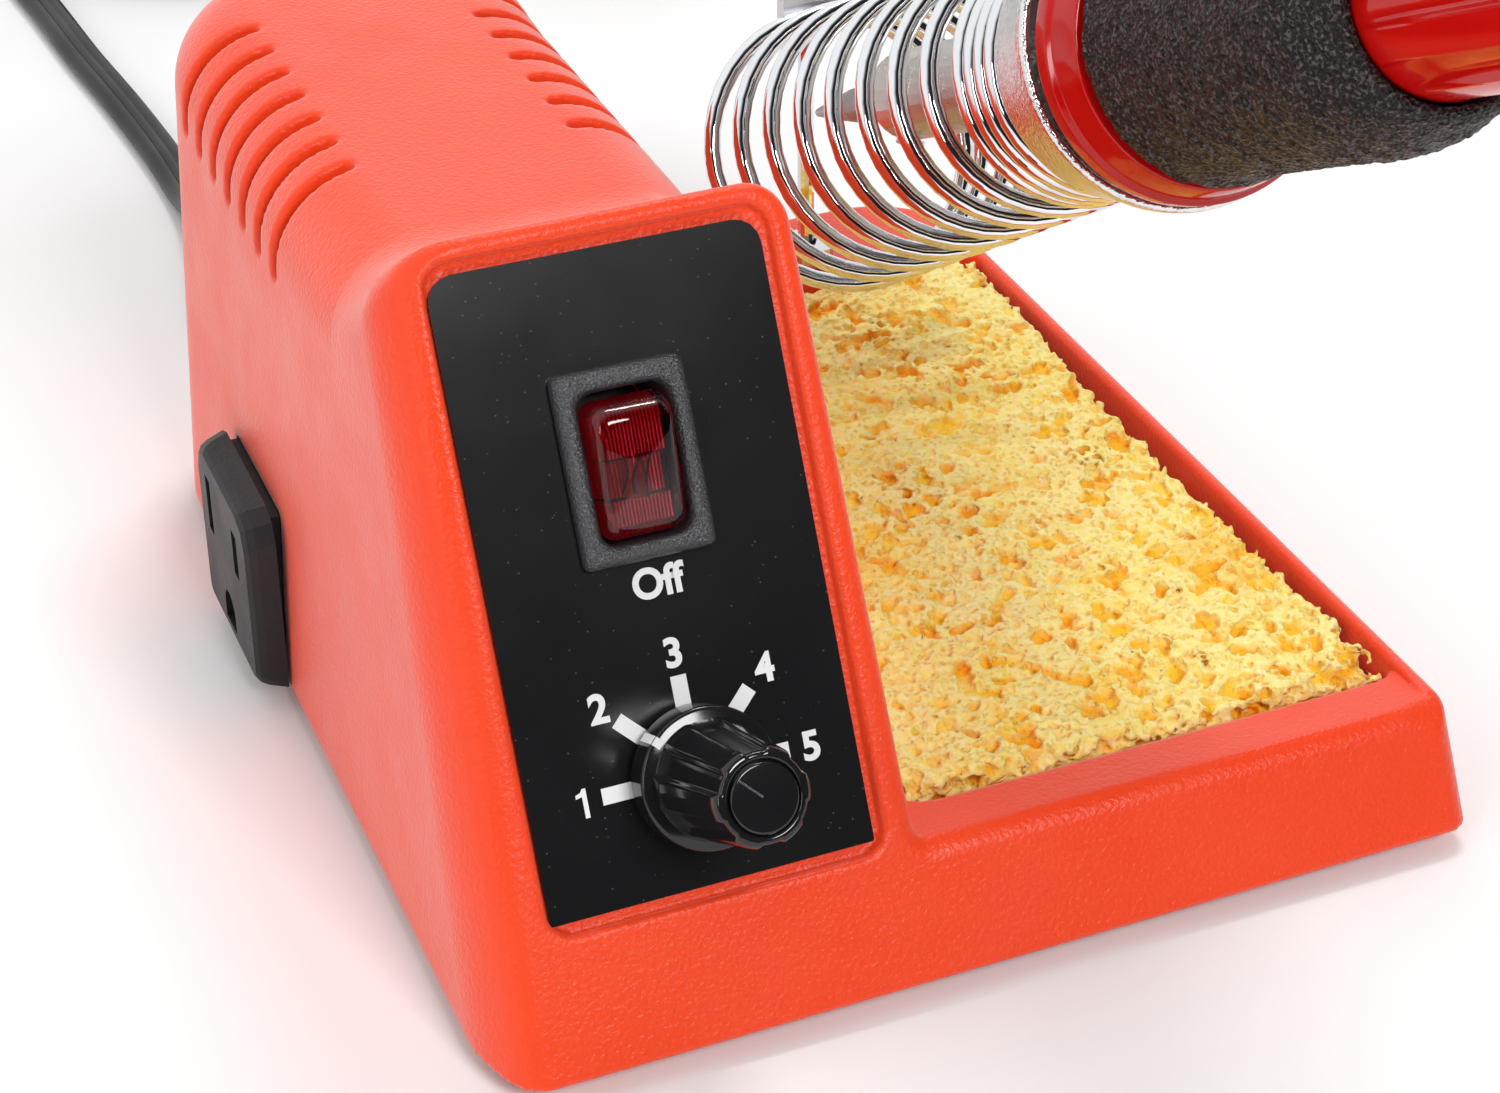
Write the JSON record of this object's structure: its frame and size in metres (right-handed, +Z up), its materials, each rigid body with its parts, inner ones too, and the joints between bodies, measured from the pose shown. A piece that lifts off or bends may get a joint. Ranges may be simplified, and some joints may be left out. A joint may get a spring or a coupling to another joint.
{
  "type": "soldering iron station",
  "caption": "Bench soldering station: a sloped housing with rocker switch, dial and side outlet, beside a tray with a wet sponge and a coil holder with the iron in it.",
  "frame": {"origin": "centre of the plan of the station and its iron, without the mains cord, on the surface it stands on", "axes": "+X to the right seen from the front, +Y from the control panel to the back, +Z up"},
  "size_m": [0.1419, 0.4756, 0.1546],
  "materials": {
    "housing_plastic": "fine spark-eroded texture, orange-red",
    "label_film": "printed film, semi-gloss black",
    "black_plastic": "fine grain, black",
    "knob_plastic": "polished black",
    "lens_red": "clear red, polished",
    "lamp_glass": "clear",
    "plated_metal": "bright zinc plated",
    "brass_contact": "satin",
    "board_green": "solder mask, green",
    "part_ceramic": "matt ceramic",
    "chrome": "bright nickel-chrome plate",
    "barrel_steel": "satin stainless steel",
    "tip_metal": "iron plated, tinned point",
    "handle_red": "polished red",
    "grip_foam": "closed-cell foam, granular",
    "sponge_cellulose": "open-pored cellulose",
    "cord_pvc": "satin PVC jacket",
    "foot_rubber": "matt"
  },
  "bodies": {
    "station": {"housing": "housing_plastic", "front_label": "label_film", "bottom_cover": "black_plastic", "switch_body": "black_plastic", "receptacle_body": "black_plastic", "triac": "black_plastic", "cover_screw_1": "plated_metal", "cover_screw_2": "plated_metal", "cover_screw_3": "plated_metal", "cover_screw_4": "plated_metal", "pot_body": "plated_metal", "pot_nut": "plated_metal", "heat_sink": "plated_metal", "holder_nut": "plated_metal", "holder_clip": "plated_metal", "switch_terminal_1": "brass_contact", "switch_terminal_2": "brass_contact", "switch_terminal_3": "brass_contact", "contact_neutral": "brass_contact", "contact_hot": "brass_contact", "contact_ground": "brass_contact", "choke": "brass_contact", "plug_blade_line": "brass_contact", "plug_blade_neutral": "brass_contact", "plug_ground_pin": "brass_contact", "circuit_board": "board_green", "capacitor": "part_ceramic", "power_resistor": "part_ceramic", "holder_spring": "chrome", "holder_funnel": "chrome", "holder_post": "chrome", "cord_gland": "cord_pvc", "mains_cord": "cord_pvc", "cord_coil": "cord_pvc", "cord_tail": "cord_pvc", "plug_body": "cord_pvc", "foot_1": "foot_rubber", "foot_2": "foot_rubber", "foot_3": "foot_rubber", "foot_4": "foot_rubber"},
    "rocker": {"rocker": "lens_red", "neon_lamp": "lamp_glass"},
    "knob": {"knob": "knob_plastic", "knob_cap": "knob_plastic", "pot_shaft": "plated_metal"},
    "iron": {"iron_collar": "handle_red", "foam_grip": "grip_foam", "handle_core": "handle_red", "handle_end": "black_plastic", "iron_barrel": "barrel_steel", "heater_element": "part_ceramic", "iron_tip": "tip_metal", "tip_screw": "plated_metal"},
    "sponge": {"sponge": "sponge_cellulose"}
  },
  "joints": [
    {"name": "rocker_tilt", "type": "hinge", "parent": "station", "child": "rocker", "pos_m": [-0.0307, -0.00733, 0.05814], "axis": [-1, 0, 0], "range_deg": [0, 19]},
    {"name": "knob_turn", "type": "hinge", "parent": "station", "child": "knob", "pos_m": [-0.03003, -0.02426, 0.02843], "axis": [0, -0.8829, 0.4695], "range_deg": [-135, 45]},
    {"name": "iron_draw", "type": "slide", "parent": "station", "child": "iron", "axis": [0, -0.887, 0.4617], "range_m": [0, 0.12]},
    {"name": "sponge_lift", "type": "hinge", "parent": "station", "child": "sponge", "pos_m": [0.028, 0.09255, 0.016], "axis": [-1, 0, 0], "range_deg": [0, 15]}
  ]
}
